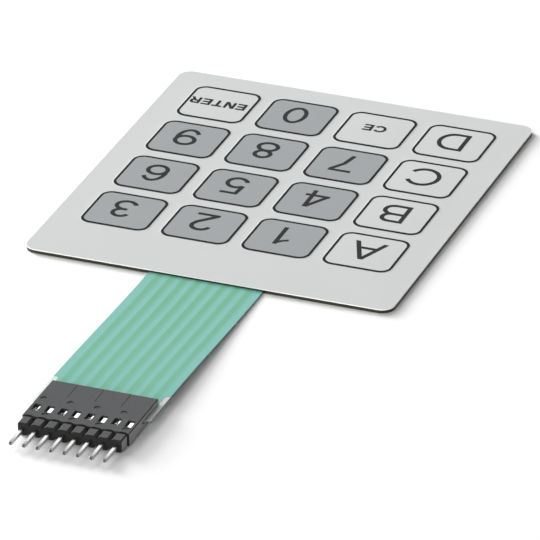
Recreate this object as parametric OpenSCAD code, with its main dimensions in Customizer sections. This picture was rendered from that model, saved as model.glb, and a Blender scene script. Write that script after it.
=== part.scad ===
// Membrane keypad: a sixteen-key film switch with a flat tail, a socket and a pin header.
// The keypad lies face up. +Y is the top edge of the keypad, where the tail leaves.
// The origin is the centre of the rear face, on the surface that the keypad lies on.

/* [Plate] */
// Width of the keypad plate
plate_w = 72.3; // [68:0.1:90]
// Height of the keypad plate
plate_h = 80.3; // [73:0.1:100]
// Corner radius of the plate
plate_r = 2.5; // [0.5:0.1:5]

/* [Layers] */
// Thickness of the graphic overlay film
overlay_t = 0.2; // [0.12:0.01:0.3]
// Thickness of the adhesive under the overlay
overlay_glue_t = 0.05; // [0.03:0.01:0.15]
// Thickness of the upper circuit film
upper_film_t = 0.125; // [0.075:0.005:0.2]
// Thickness of the spacer between the two circuits
spacer_t = 0.175; // [0.12:0.005:0.4]
// Thickness of the lower circuit film and the tail
lower_film_t = 0.125; // [0.075:0.005:0.2]
// Thickness of the adhesive on the rear
rear_glue_t = 0.125; // [0.05:0.005:0.3]
// Thickness of the release liner
liner_t = 0.1; // [0.05:0.01:0.2]
// Thickness of one printed layer of ink
ink_t = 0.03; // [0.01:0.005:0.05]

/* [Keys] */
// Distance between key centres, both ways
key_pitch = 16; // [15:0.1:17]
// Width of a key, to the middle of its outline
key_w = 13; // [11:0.1:13.6]
// Corner radius of a key, to the middle of its outline
key_r = 2; // [0.8:0.1:4]
// Width of the printed outline
outline_w = 0.5; // [0.2:0.02:0.8]
// Height of the embossed keys above the plate
emboss_h = 0.05; // [0.03:0.01:0.3]
// Width of the embossed land outside the outline
emboss_land = 0.1; // [0.05:0.05:0.3]
// Distance from the plate's bottom edge to the bottom row of outlines
bottom_margin = 5.5; // [3:0.1:9]

/* [Circuits] */
// Diameter of a contact pad
pad_d = 8; // [5:0.1:9]
// Diameter of the spacer hole under a key
spacer_hole_d = 10; // [9.2:0.1:11]
// Width of an air channel in the spacer
vent_w = 1.6; // [1.2:0.1:3]
// Width of a printed lead on the plate
lead_w = 0.6; // [0.3:0.05:0.7]
// Distance between neighbouring leads in a margin
lead_gap = 1.3; // [1.25:0.05:2]
// Distance from the outer pad's edge to the first side lead
side_lead_gap = 2; // [1.5:0.1:2.5]
// Diameter of a conductive glue drop between the two circuits
drop_d = 1.2; // [0.8:0.1:1.2]

/* [Tail] */
// Width of the tail
tail_w = 22.4; // [21:0.01:26]
// Length of tail between the plate and the socket
tail_l = 48.35; // [30:0.05:90]
// Sideways offset of the tail and the socket from the plate's middle
tail_x = -0.25; // [-2:0.05:2]
// Distance between neighbouring tail conductors
conductor_pitch = 2.54; // [2.54:0.01:2.6]
// Width of a tail conductor
conductor_w = 1.27; // [0.6:0.01:1.27]
// Thickness of the green coat over the tail and its conductors
coat_t = 0.03; // [0.02:0.005:0.06]
// Length of clear film edge between the coat and the socket
clear_edge_l = 3.3; // [0:0.1:8]
// Corner cut at the tail's end
tail_end_cut = 0.9; // [0.2:0.1:1.2]
// Height of the tail's underside above the pins' axis, inside the socket
tail_rise = 0.13; // [0.05:0.01:0.25]

/* [Socket] */
// Length of the housing, along the tail
housing_l = 13.55; // [13.4:0.05:20]
// Height of the housing
housing_h = 2.54; // [2.5:0.01:3.5]
// Chamfer along the housing's long edges
housing_chamfer = 0.15; // [0.05:0.05:0.3]
// Wall between the contacts and the housing's front face
front_wall = 0.8; // [0.5:0.1:1.2]
// Width of the hollow before each pin in the housing's front face
hollow_w = 1.8; // [1:0.1:2.4]
// Depth of the hollows in the housing's front face
hollow_depth = 0.3; // [0.1:0.05:0.4]
// Depth of the slot that takes the tail
slot_depth = 7.6; // [7:0.1:8.4]
// Width of a window in the housing's top
window_w = 1.3; // [1:0.1:1.7]
// Length of a window in the housing's top
window_l = 2.3; // [1.2:0.1:2.6]
// Distance from the housing's rear edge to the middle of its windows
window_y = 10.2; // [9.9:0.1:10.4]
// Diameter of a round dimple in the housing's top
dimple_d = 1.2; // [0.8:0.1:1.4]
// Depth of the dimples
dimple_depth = 0.12; // [0.05:0.01:0.3]
// Distance from the housing's rear edge to the rear dimples
rear_dimple_y = 6.7; // [4:0.1:8]
// Distance from the housing's rear edge to the front dimples
front_dimple_y = 12.2; // [12.2:0.1:12.6]
// Length of the fine seams in the housing's top
seam_l = 5; // [2:0.1:6]
// Width of the fine seams
seam_w = 0.12; // [0.05:0.01:0.3]
// Depth of the fine seams
seam_depth = 0.05; // [0.02:0.01:0.2]

/* [Contacts] */
// Sheet thickness of a contact
metal_t = 0.2; // [0.12:0.01:0.22]
// Width of a contact
contact_w = 1.7; // [1.7:0.01:1.9]
// Height of a contact's box
contact_h = 1.4; // [1.3:0.01:1.6]
// Length of a crimp prong
prong_l = 1.2; // [0.6:0.1:1.4]
// Width of a clinched prong, over the conductor
clinch_w = 0.7; // [0.4:0.05:0.75]
// Distance from the housing's rear edge to the crimp base
crimp_y = 3; // [2.6:0.1:3.2]
// Distance between the two pairs of prongs
prong_pitch = 2.2; // [1.6:0.1:2.4]
// Width of the slot in the roof of every second contact
roof_slot_w = 0.8; // [0.3:0.05:0.9]
// Length of the slot in the roof of every second contact
roof_slot_l = 2; // [1:0.1:2.4]
// Width of a locking lance, which rises from the contact into the window
lance_w = 0.7; // [0.3:0.05:0.9]
// Width of the lance on every second contact
narrow_lance_w = 0.25; // [0.2:0.05:0.4]
// Distance from a narrow lance to the front of its window
narrow_lance_gap = 0.95; // [0.1:0.05:1]
// Depth of the lances' tops under the housing's top
lance_depth = 0.22; // [0.1:0.02:0.4]

/* [Header] */
// Side of a square pin
pin_w = 0.64; // [0.5:0.01:0.7]
// Length of pin in front of the header body
pin_l = 5.75; // [3:0.05:12]
// Length of pin inside the contact
pin_inside_l = 2.6; // [1:0.1:3]
// Length of a pin's tapered end
pin_taper_l = 0.3; // [0.2:0.1:1]
// Side of the pin's flat tip
pin_tip_w = 0.45; // [0.1:0.05:0.45]
// Length of the header body, along the pins
header_l = 2.4; // [2:0.01:4]
// Height of the header body
header_h = 2.5; // [2.4:0.01:2.54]
// Corner cut of a header segment, at the top
header_cut = 0.55; // [0.2:0.01:0.7]
// Corner cut of a header segment, at the bottom
header_foot_cut = 0.7; // [0.2:0.01:0.7]
// Trim of the header's two ends
header_trim = 0.3; // [0:0.05:0.4]
// Gap between the housing and the header body
header_gap = 0.4; // [0.05:0.05:0.6]

/* [Fits] */
// Clearance round a contact in its cavity
contact_fit = 0.05; // [0.02:0.01:0.1]
// Clearance above and below the tail in its slot
slot_fit = 0.05; // [0.02:0.01:0.1]
// Clearance round a prong in the tail's slits
prong_fit = 0.02; // [0.01:0.005:0.03]
// Clearance between a pin and the contact's springs
spring_fit = 0.01; // [0.005:0.005:0.03]
// Clearance round a pin in the housing's front wall
entry_fit = 0.15; // [0.05:0.01:0.3]
// Clearance between the tail's end and the slot's end
tail_end_fit = 0.3; // [0.1:0.05:0.4]
// Clearance round a lance in its window
lance_fit = 0.1; // [0.05:0.01:0.15]

/* [Hidden] */
$fn = 48;
rows = 4;
columns = 4;
circuits = rows + columns;
tail_steps = 24;
cut = 1;

// Levels of the layers, from the surface up
rear_glue_z = liner_t;
lower_film_z = rear_glue_z + rear_glue_t;
spacer_z = lower_film_z + lower_film_t;
upper_film_z = spacer_z + spacer_t;
overlay_glue_z = upper_film_z + upper_film_t;
overlay_z = overlay_glue_z + overlay_glue_t;
face_z = overlay_z + overlay_t;
key_face_z = face_z + emboss_h;

// Places of the keys
plate_top = plate_h / 2;
key_rows_mid = bottom_margin + key_w / 2 + key_pitch * (rows - 1) / 2 - plate_top;
land_w = key_w + outline_w + 2 * emboss_land;
land_r = key_r + outline_w / 2 + emboss_land;
pocket_w = land_w - 2 * overlay_t;
pocket_r = land_r - overlay_t;

// Places of the leads: the columns run to the inner tail conductors, the rows to the outer ones
outer_pad_x = key_pitch * (columns - 1) / 2 + pad_d / 2;
side_lead_x = outer_pad_x + side_lead_gap;
column_turn_y = key_row_y(0) + spacer_hole_d / 2 + lead_gap;
row_turn_y = column_turn_y + columns / 2 * lead_gap;

// Levels and places along the tail and the socket
axis_z = housing_h / 2;
tail_socket_z = axis_z + tail_rise;
housing_y = plate_top + tail_l;
housing_w = conductor_pitch * circuits;
housing_front = housing_y + housing_l;
tail_end = housing_y + slot_depth - tail_end_fit;
header_y = housing_front + header_gap;
header_front = header_y + header_l;
box_y = housing_y + slot_depth;
box_front = housing_front - front_wall;
window_start = housing_y + window_y - window_l / 2;
roof_z = axis_z + contact_h / 2;
lance_top = housing_h - lance_depth;
crimp_start = housing_y + crimp_y;
conductor_top_z = tail_socket_z + lower_film_t + ink_t;
coat_end = crimp_start - prong_fit;
cavity_w = contact_w + 2 * contact_fit;
cavity_h = contact_h + 2 * contact_fit;
hollow_r = (hollow_w * hollow_w / 4 + hollow_depth * hollow_depth) / (2 * hollow_depth);

// The tail rises smoothly from the plate to the socket, in short straight steps
tail_path = [for (k = [0 : tail_steps])
    let (t = k / tail_steps)
    [plate_top + tail_l * t, (tail_socket_z - lower_film_z) * t * t * (3 - 2 * t)]];

function key_x(c) = (c - (columns - 1) / 2) * key_pitch;
function key_row_y(r) = key_rows_mid + ((rows - 1) / 2 - r) * key_pitch;
function is_grey(r, c) = (r < rows - 1 && c > 0) || (r == rows - 1 && c == 2);
function conductor_x(i) = tail_x + (i - (circuits + 1) / 2) * conductor_pitch;
function steps_between(y0, y1) =
    concat([y0], [for (p = tail_path) if (p[0] > y0 && p[0] < y1) p[0]], [y1]);

// A rectangle with round corners, about its own centre
module rounded(w, h, r) {
    square([w - 2 * r, h], center = true);
    square([w, h - 2 * r], center = true);
    for (x = [-1, 1], y = [-1, 1])
        translate([x * (w / 2 - r), y * (h / 2 - r)])
            circle(r);
}

module plate_layer(z, t) {
    translate([0, 0, z])
        linear_extrude(t)
            rounded(plate_w, plate_h, plate_r);
}

module at_keys() {
    for (r = [0 : rows - 1], c = [0 : columns - 1])
        translate([key_x(c), key_row_y(r), 0])
            children();
}

// A straight printed lead from a to b, with square ends half a lead beyond each
module lead(a, b) {
    low = [min(a[0], b[0]), min(a[1], b[1])];
    span = [abs(a[0] - b[0]), abs(a[1] - b[1])];
    translate(low - [lead_w, lead_w] / 2)
        square(span + [lead_w, lead_w]);
}

// A strip that follows the tail between y0 and y1, from z0 to z1 above the plate's level
module tail_strip(x, w, y0, y1, z0, z1) {
    ys = steps_between(y0, y1);
    low = [for (y = ys) [y, z0 + lookup(y, tail_path)]];
    high = [for (k = [len(ys) - 1 : -1 : 0]) [ys[k], z1 + lookup(ys[k], tail_path)]];
    translate([x - w / 2, 0, 0])
        rotate([90, 0, 90])
            linear_extrude(w)
                polygon(concat(low, high));
}

module graphic_overlay() {
    color("#d5d8d7")
        difference() {
            union() {
                plate_layer(overlay_z, overlay_t);
                at_keys()
                    translate([0, 0, overlay_z])
                        linear_extrude(overlay_t + emboss_h)
                            rounded(land_w, land_w, land_r);
            }
            at_keys()
                translate([0, 0, overlay_z - cut])
                    linear_extrude(emboss_h + cut)
                        rounded(pocket_w, pocket_w, pocket_r);
        }
}

module grey_key_print() {
    color("#a5a8ab")
        for (r = [0 : rows - 1], c = [0 : columns - 1])
            if (is_grey(r, c))
                translate([key_x(c), key_row_y(r), key_face_z])
                    linear_extrude(ink_t)
                        rounded(key_w - outline_w, key_w - outline_w, key_r - outline_w / 2);
}

module key_outline_print() {
    color("#2b2b2b")
        at_keys()
            translate([0, 0, key_face_z])
                linear_extrude(ink_t)
                    difference() {
                        rounded(key_w + outline_w, key_w + outline_w, key_r + outline_w / 2);
                        rounded(key_w - outline_w, key_w - outline_w, key_r - outline_w / 2);
                    }
}

module overlay_adhesive() {
    color("#4a4838")
        difference() {
            plate_layer(overlay_glue_z, overlay_glue_t);
            at_keys()
                translate([0, 0, overlay_glue_z - cut])
                    linear_extrude(overlay_glue_t + 2 * cut)
                        rounded(pocket_w, pocket_w, pocket_r);
        }
}

module upper_circuit_film() {
    color("#3d3f36")
        plate_layer(upper_film_z, upper_film_t);
}

// The tail conductor that row r joins: the two upper rows turn right, the two lower ones left
function row_side(r) = r < rows / 2 ? 1 : -1;
function row_step(r) = r % 2;
function row_conductor(r) = row_side(r) > 0 ? circuits - 1 + row_step(r) : 2 - row_step(r);
function row_join(r) = [conductor_x(row_conductor(r)), row_turn_y + row_step(r) * lead_gap];

module row_print(r) {
    lead_x = row_side(r) * (side_lead_x + row_step(r) * lead_gap);
    join = row_join(r);
    for (c = [0 : columns - 1])
        translate([key_x(c), key_row_y(r)])
            circle(d = pad_d);
    lead([-row_side(r) * key_x(columns - 1), key_row_y(r)], [lead_x, key_row_y(r)]);
    lead([lead_x, key_row_y(r)], [lead_x, join[1]]);
    lead([lead_x, join[1]], join);
    translate(join)
        square([conductor_w, conductor_w], center = true);
}

module row_conductors() {
    color("#b9bcc0")
        for (r = [0 : rows - 1])
            translate([0, 0, upper_film_z - ink_t])
                linear_extrude(ink_t)
                    row_print(r);
}

// The tail conductor that column c joins: the outer columns take the outer two of the inner four
function column_conductor(c) = circuits / 2 - columns / 2 + 1 + c;
function column_turn(c) = column_turn_y + (abs(key_x(c)) > key_pitch ? lead_gap : 0);

module column_print(c) {
    turn = [key_x(c), column_turn(c)];
    join = [conductor_x(column_conductor(c)), column_turn(c)];
    for (r = [0 : rows - 1])
        translate([key_x(c), key_row_y(r)])
            circle(d = pad_d);
    lead([key_x(c), key_row_y(rows - 1)], turn);
    lead(turn, join);
}

module column_conductors() {
    color("#b9bcc0")
        for (c = [0 : columns - 1]) {
            i = column_conductor(c);
            translate([0, 0, spacer_z])
                linear_extrude(ink_t)
                    column_print(c);
            tail_strip(conductor_x(i), conductor_w, column_turn(c) - lead_w / 2, tail_end,
                spacer_z, spacer_z + ink_t);
        }
}

module row_tail_conductors() {
    color("#b9bcc0")
        for (r = [0 : rows - 1])
            tail_strip(row_join(r)[0], conductor_w, row_join(r)[1] - conductor_w / 2, tail_end,
                spacer_z, spacer_z + ink_t);
}

module transfer_joints() {
    color("#8d8f93")
        for (r = [0 : rows - 1])
            translate([row_join(r)[0], row_join(r)[1], spacer_z + ink_t])
                cylinder(d = drop_d, h = spacer_t - 2 * ink_t);
}

module air_channel(a, b) {
    translate([min(a[0], b[0]) - vent_w / 2, min(a[1], b[1]) - vent_w / 2, spacer_z - cut])
        cube([abs(a[0] - b[0]) + vent_w, abs(a[1] - b[1]) + vent_w, spacer_t + 2 * cut]);
}

module contact_spacer() {
    color("#3b3a30")
        difference() {
            plate_layer(spacer_z, spacer_t);
            at_keys()
                translate([0, 0, spacer_z - cut])
                    cylinder(d = spacer_hole_d, h = spacer_t + 2 * cut);
            for (r = [0 : rows - 1])
                air_channel([key_x(0), key_row_y(r)], [key_x(columns - 1), key_row_y(r)]);
            air_channel([key_x(1), key_row_y(0)], [key_x(1), key_row_y(rows - 1)]);
            row_conductors();
            column_conductors();
            row_tail_conductors();
            transfer_joints();
        }
}

module lower_circuit_film() {
    color("#dfe6e4")
        difference() {
            union() {
                plate_layer(lower_film_z, lower_film_t);
                tail_strip(tail_x, tail_w, row_turn_y, tail_end, lower_film_z, spacer_z);
            }
            for (x = [-1, 1])
                translate([tail_x + x * tail_w / 2, tail_end, axis_z])
                    rotate(45)
                        cube([tail_end_cut * sqrt(2), tail_end_cut * sqrt(2), housing_h], center = true);
            for (i = [1 : circuits])
                prongs(i, prong_fit, tail_socket_z - cut, lower_film_t + 2 * cut);
        }
}

// The coat follows the conductors, so it has a low ridge over each of them
module tail_coating() {
    ridge_w = conductor_w + 2 * coat_t;
    ridge_t = ink_t + coat_t;
    clear_start = housing_y - clear_edge_l;
    color("#88bfa9")
        difference() {
            union() {
                tail_strip(tail_x, tail_w, plate_top, clear_start, spacer_z, spacer_z + coat_t);
                tail_strip(tail_x, housing_w, clear_start - cut, coat_end, spacer_z, spacer_z + coat_t);
                for (i = [1 : circuits])
                    tail_strip(conductor_x(i), ridge_w, plate_top, coat_end, spacer_z, spacer_z + ridge_t);
            }
            column_conductors();
            row_tail_conductors();
        }
}

module rear_adhesive() {
    color("#4a4838")
        plate_layer(rear_glue_z, rear_glue_t);
}

module release_liner() {
    color("#a49f93")
        plate_layer(0, liner_t);
}

module housing_block() {
    c = housing_chamfer;
    w = housing_w / 2;
    h = housing_h;
    right = [[w - c, 0], [w, c], [w, h - c], [w - c, h]];
    left = [[c - w, h], [-w, h - c], [-w, c], [c - w, 0]];
    translate([tail_x, housing_front, 0])
        rotate([90, 0, 0])
            linear_extrude(housing_l)
                polygon(concat(right, left));
}

module connector_housing() {
    slot_low = tail_socket_z - slot_fit;
    slot_high = tail_socket_z + lower_film_t + ink_t + coat_t + slot_fit;
    entry_w = pin_w + 2 * entry_fit;
    color("#5c5e60")
        difference() {
            housing_block();
            translate([tail_x - tail_w / 2 - cut, housing_y - cut, slot_low])
                cube([tail_w + 2 * cut, slot_depth + cut, slot_high - slot_low]);
            for (i = [1 : circuits])
                translate([conductor_x(i), 0, 0]) {
                    translate([-cavity_w / 2, housing_y - cut, axis_z - cavity_h / 2])
                        cube([cavity_w, housing_l - front_wall + cut, cavity_h]);
                    translate([-entry_w / 2, housing_front - front_wall - cut, axis_z - entry_w / 2])
                        cube([entry_w, front_wall + 2 * cut, entry_w]);
                    translate([0, housing_front - hollow_depth + hollow_r, -cut])
                        cylinder(r = hollow_r, h = housing_h + 2 * cut);
                    translate([-window_w / 2, window_start, axis_z])
                        cube([window_w, window_l, housing_h]);
                    dimple_y = i % 2 == 0 ? rear_dimple_y : front_dimple_y;
                    translate([0, housing_y + dimple_y, housing_h - dimple_depth])
                        cylinder(d = dimple_d, h = dimple_depth + cut);
                }
            for (k = [2 : 2 : circuits - 2]) {
                seam_x = tail_x + (k - circuits / 2) * conductor_pitch;
                translate([seam_x - seam_w / 2, housing_y - cut, housing_h - seam_depth])
                    cube([seam_w, seam_l + cut, seam_depth + cut]);
            }
        }
}

// Four upright prongs of contact i, grown by fit, from z up to z + h
module prongs(i, fit, z, h) {
    for (s = [-1, 1], k = [0, 1])
        translate([conductor_x(i) + s * (contact_w - metal_t) / 2, crimp_start + k * prong_pitch, 0])
            translate([-metal_t / 2 - fit, -fit, z])
                cube([metal_t + 2 * fit, prong_l + 2 * fit, h]);
}

// The lance of contact i, w wide, at the left side of its window and gap short of its front
module lance(i, w, gap) {
    translate([conductor_x(i) - window_w / 2 + lance_fit, window_start + lance_fit, roof_z - metal_t / 2])
        cube([w, window_l - lance_fit - gap, lance_top - roof_z + metal_t / 2]);
}

module crimp_contact(i) {
    base_z = tail_socket_z - metal_t;
    wall_w = contact_w - 2 * metal_t;
    wall_h = contact_h - 2 * metal_t;
    spring_h = (wall_h - pin_w) / 2 - spring_fit;
    color("#c9c4b8") {
        translate([conductor_x(i) - contact_w / 2, crimp_start, base_z])
            cube([contact_w, box_y + metal_t - crimp_start, metal_t]);
        prongs(i, 0, base_z, conductor_top_z + metal_t - base_z);
        for (s = [-1, 1], k = [0, 1])
            translate([conductor_x(i) + s * (contact_w - clinch_w) / 2 - clinch_w / 2,
                       crimp_start + k * prong_pitch, conductor_top_z])
                cube([clinch_w, prong_l, metal_t]);
        difference() {
            translate([conductor_x(i) - contact_w / 2, box_y, axis_z - contact_h / 2])
                cube([contact_w, box_front - box_y, contact_h]);
            translate([conductor_x(i) - wall_w / 2, box_y + metal_t, axis_z - wall_h / 2])
                cube([wall_w, box_front - box_y, wall_h]);
            if (i % 2 == 0)
                translate([conductor_x(i) + wall_w / 2 - roof_slot_w, window_start, axis_z])
                    cube([roof_slot_w, roof_slot_l, contact_h]);
        }
        if (i % 2 == 0)
            lance(i, narrow_lance_w, narrow_lance_gap);
        else
            lance(i, lance_w, lance_fit);
        for (s = [-1, 1])
            translate([conductor_x(i), box_front - pin_inside_l / 2, axis_z + s * (wall_h - spring_h) / 2])
                cube([pin_w, pin_inside_l / 2, spring_h], center = true);
    }
}

// The section of the header: a row of eight-sided segments in one outline, trimmed at both ends
module header_section() {
    half = conductor_pitch / 2;
    flat = half - header_cut;
    foot = half - header_foot_cut;
    shoulder = header_h - header_cut;
    tops = [for (i = [1 : circuits]) let (x = conductor_x(i))
        each [[x - half, shoulder], [x - flat, header_h], [x + flat, header_h], [x + half, shoulder]]];
    bottoms = [for (i = [circuits : -1 : 1]) let (x = conductor_x(i))
        each [[x + half, header_foot_cut], [x + foot, 0], [x - foot, 0], [x - half, header_foot_cut]]];
    intersection() {
        polygon(concat(tops, bottoms));
        translate([tail_x, header_h / 2])
            square([housing_w - 2 * header_trim, header_h], center = true);
    }
}

module header_body() {
    color("#3c3c3b")
        difference() {
            translate([0, header_front, axis_z - header_h / 2])
                rotate([90, 0, 0])
                    linear_extrude(header_l)
                        header_section();
            for (i = [1 : circuits])
                translate([conductor_x(i) - pin_w / 2, header_y - cut, axis_z - pin_w / 2])
                    cube([pin_w, header_l + 2 * cut, pin_w]);
        }
}

// The side view of a pin, with both ends tapered, from the contact to the tip
module pin_profile() {
    y0 = box_front - pin_inside_l;
    y1 = header_front + pin_l;
    a = pin_w / 2;
    b = pin_tip_w / 2;
    polygon([[y0, -b], [y0 + pin_taper_l, -a], [y1 - pin_taper_l, -a], [y1, -b],
             [y1, b], [y1 - pin_taper_l, a], [y0 + pin_taper_l, a], [y0, b]]);
}

module header_pin(i) {
    color("#d3d4d6")
        translate([conductor_x(i), 0, axis_z])
            intersection() {
                translate([-pin_w / 2, 0, 0])
                    rotate([90, 0, 90])
                        linear_extrude(pin_w)
                            pin_profile();
                translate([0, 0, -pin_w / 2])
                    linear_extrude(pin_w)
                        mirror([1, -1, 0])
                            pin_profile();
            }
}

graphic_overlay();
grey_key_print();
key_outline_print();
overlay_adhesive();
upper_circuit_film();
row_conductors();
contact_spacer();
transfer_joints();
column_conductors();
row_tail_conductors();
lower_circuit_film();
tail_coating();
rear_adhesive();
release_liner();
connector_housing();
for (i = [1 : circuits])
    crimp_contact(i);
header_body();
for (i = [1 : circuits])
    header_pin(i);
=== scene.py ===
# %% [markdown]
# # A membrane keypad, dressed in Blender
# The keypad is a stack of thin films: a printed and embossed overlay, two circuit films with a spacer
# between them, and an adhesive with its release liner. The lower film runs out as a flat green tail to a
# black socket, and a pin header is plugged into that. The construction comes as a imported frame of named
# nodes. This lesson adds what a frame can't say: soft embossing, print, coats, mouldings and metal.

# %% Load the frame
import math

import bmesh
import bpy
from mathutils import Matrix, Vector
from mathutils.geometry import delaunay_2d_cdt


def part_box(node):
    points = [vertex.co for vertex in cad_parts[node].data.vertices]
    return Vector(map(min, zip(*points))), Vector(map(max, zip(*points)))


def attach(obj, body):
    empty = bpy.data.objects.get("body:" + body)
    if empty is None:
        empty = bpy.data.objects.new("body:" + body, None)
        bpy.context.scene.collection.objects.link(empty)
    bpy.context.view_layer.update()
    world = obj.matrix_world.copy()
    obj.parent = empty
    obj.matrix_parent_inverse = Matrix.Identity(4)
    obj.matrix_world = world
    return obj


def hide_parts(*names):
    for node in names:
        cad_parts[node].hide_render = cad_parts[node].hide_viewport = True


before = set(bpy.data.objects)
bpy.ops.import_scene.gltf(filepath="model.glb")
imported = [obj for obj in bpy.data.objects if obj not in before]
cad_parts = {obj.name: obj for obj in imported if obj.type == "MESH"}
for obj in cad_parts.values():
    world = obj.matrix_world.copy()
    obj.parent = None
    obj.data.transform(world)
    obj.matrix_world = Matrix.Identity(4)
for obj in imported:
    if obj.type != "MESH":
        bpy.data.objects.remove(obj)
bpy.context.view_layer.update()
MM = 0.001

# %% [markdown]
# ## Adding nodes
# Materials and geometry trees are both made of nodes. They could be drawn by hand in the node editor,
# but a script can be read and run again. So one small function adds a node, sets its properties and
# fills its inputs, with a value or with a link from another node.


# %% A function that adds a node
def add(tree, kind, inputs=None, **settings):
    """Adds a node. An input takes a value, a socket, or a node, whose first output is then used."""
    node = tree.nodes.new(kind)
    for name, value in settings.items():
        setattr(node, name, value)
    for name, value in (inputs or {}).items():
        if isinstance(value, bpy.types.Node):
            value = value.outputs[0]
        if isinstance(value, bpy.types.NodeSocket):
            tree.links.new(value, node.inputs[name])
        else:
            node.inputs[name].default_value = value
    return node


def linear(code):
    """An sRGB colour such as #d4d7d6 as the linear values that Blender's sockets take."""
    parts = [int(code[i:i + 2], 16) / 255 for i in (1, 3, 5)]
    return [p / 12.92 if p <= 0.04045 else ((p + 0.055) / 1.055) ** 2.4 for p in parts] + [1]


print("a middle grey of #808080 is", round(linear("#808080")[0], 3), "in linear light")

# %% [markdown]
# ## One recipe for all finishes
# Film, ink, moulded plastic and plated metal look alike in kind: an even colour that drifts a little
# from place to place, and a fine grain that breaks up the gloss. Each could have a tree of its own, but
# one recipe is shorter and keeps them comparable. Slow noise mixes two close colours, and fine noise
# moves the roughness and lifts a shallow bump. The grain of the real surfaces is under 0.1 mm, too fine
# to show here, so it is drawn coarser.


# %% The recipe
def noise(tree, size, detail):
    """Noise in the object's own space, with patches of about this size in mm."""
    place = add(tree, "ShaderNodeTexCoord").outputs["Object"]
    return add(tree, "ShaderNodeTexNoise", {"Vector": place, "Scale": 1 / (size * MM), "Detail": detail})


def mixed(tree, share, first, second):
    """A colour between two others. A Mix node takes colours at 6 and 7, and gives one at output 2."""
    return add(tree, "ShaderNodeMix", {0: share, 6: first, 7: second}, data_type="RGBA").outputs[2]


def grained(name, light, dark, patch, grain, depth, rough, **sockets):
    """A finish with colour patches and grain of these sizes in mm, and a (low, high) roughness."""
    material = bpy.data.materials.new(name)
    material.use_nodes = True
    tree = material.node_tree
    shader = tree.nodes["Principled BSDF"]
    colour = mixed(tree, noise(tree, patch, detail=2), linear(light), linear(dark))
    grains = noise(tree, grain, detail=1)
    gloss = add(tree, "ShaderNodeMapRange", {"Value": grains, "To Min": rough[0], "To Max": rough[1]})
    bump = add(tree, "ShaderNodeBump", {"Height": grains, "Distance": depth * MM})
    tree.links.new(colour, shader.inputs["Base Color"])
    tree.links.new(gloss.outputs[0], shader.inputs["Roughness"])
    tree.links.new(bump.outputs[0], shader.inputs["Normal"])
    for socket, value in sockets.items():
        shader.inputs[socket.replace("_", " ")].default_value = value
    return material


# %% [markdown]
# ## The finishes of the plate
# The overlay is polyester film with a satin hard coat, printed on its back, so ink and bare film share
# the same soft gloss. Its cut edge is white and shows as a bright line. The layers under it are dark and
# read as one thin dark line, the clear lower film by painted shade on its edge, down to the grey-beige
# paper of the liner, deepened as painted shade. They could all share one dark finish, but film and
# adhesive differ in gloss, so each has its own.

# %% Plate materials
SATIN = 0.12
INK_SATIN = 0.06
SATIN_ROUGH = (0.52, 0.6)
# An even light grey with a soft gloss and no clear reflection
overlay_film = grained("polyester film, satin hard coat", "#c5c7c6", "#c1c3c3", 14, 0.5, 0.004, SATIN_ROUGH,
                       Specular_IOR_Level=SATIN)
# A bright white line along the cut
overlay_edge = grained("polyester film, cut edge", "#fdfdf8", "#f7f7f1", 3, 0.3, 0.01, (0.5, 0.65))
# A cool middle grey with the film's own gloss
grey_ink = grained("grey screen ink behind satin film", "#979a9b", "#939698", 9, 0.5, 0.004, SATIN_ROUGH,
                   Specular_IOR_Level=SATIN)
# Nearly black, a little lighter than the outlines
legend_ink = grained("dark grey screen ink behind satin film", "#29292b", "#232324", 4, 0.4, 0.004,
                     SATIN_ROUGH, Specular_IOR_Level=INK_SATIN)
# Black, and dull from every side
black_ink = grained("black screen ink behind satin film", "#1a1a1b", "#141415", 4, 0.4, 0.004, SATIN_ROUGH,
                    Specular_IOR_Level=INK_SATIN)
# Olive black with a slightly wet gloss
dark_adhesive = grained("acrylic adhesive, die cut", "#22231b", "#191a13", 1.2, 0.25, 0.01, (0.25, 0.4))
# Olive black and smooth, glossier than the adhesive
smoky_film = grained("polyester film, carbon printed", "#25271f", "#1d1e17", 2, 0.3, 0.005, (0.2, 0.32))
# Dull grey-beige with faint patches, deepened as painted shade for the shadow under the plate's edge
liner_paper_painted_shade = grained("glassine release paper", "#aaa598", "#9f9a8d", 5, 0.35, 0.008, (0.5, 0.7))
print("plate finishes:", [m.name for m in (overlay_film, grey_ink, black_ink, liner_paper_painted_shade)])

# %% [markdown]
# ## The finishes of the tail and the connector
# The tail's film is clear, and its conductors are silver ink. Socket and header are black thermoplastic
# with a fine grain from the mould. The header's front and back are duller than its top, and the ends of
# both are painted pale, as a painted sheen. Contacts and pins are tin plated, a soft white metal, with the
# pins painted greyer as painted shade. One black could do for all the plastic, but these differences are
# what tells the parts apart.

# %% Tail and connector materials
# Clear and a little milky, so that what lies under it shows softly
clear_film = grained("polyester film, clear", "#f0f4f2", "#e9eeec", 6, 0.6, 0.0, (0.4, 0.5),
                     Transmission_Weight=0.6)
# A flat silver grey, part metal and part paint
silver_ink = grained("silver ink, screen printed", "#b9bcc0", "#a9acb0", 1.5, 0.3, 0.006, (0.45, 0.6),
                     Metallic=0.6)
# Charcoal with a soft sheen
socket_plastic = grained("glass-filled polyester, moulded", "#343537", "#2f3032", 3, 0.22, 0.003,
                         (0.38, 0.5), Specular_IOR_Level=0.25)
# Black, with a little more gloss than the socket
header_plastic = grained("black polyamide, moulded", "#262626", "#202020", 2, 0.22, 0.004, (0.36, 0.5),
                         Specular_IOR_Level=0.35)
# Black and matt
header_face = grained("black polyamide, matt parting face", "#2c2c2b", "#272726", 2, 0.3, 0.01, (0.7, 0.85),
                      Specular_IOR_Level=0.15)
# A pale, rough grey painted on the ends, as a painted sheen of light caught from the side
end_painted_sheen = grained("black thermoplastic, sawn end", "#8c8c8a", "#818180", 0.8, 0.2, 0.008, (0.6, 0.75))
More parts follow.
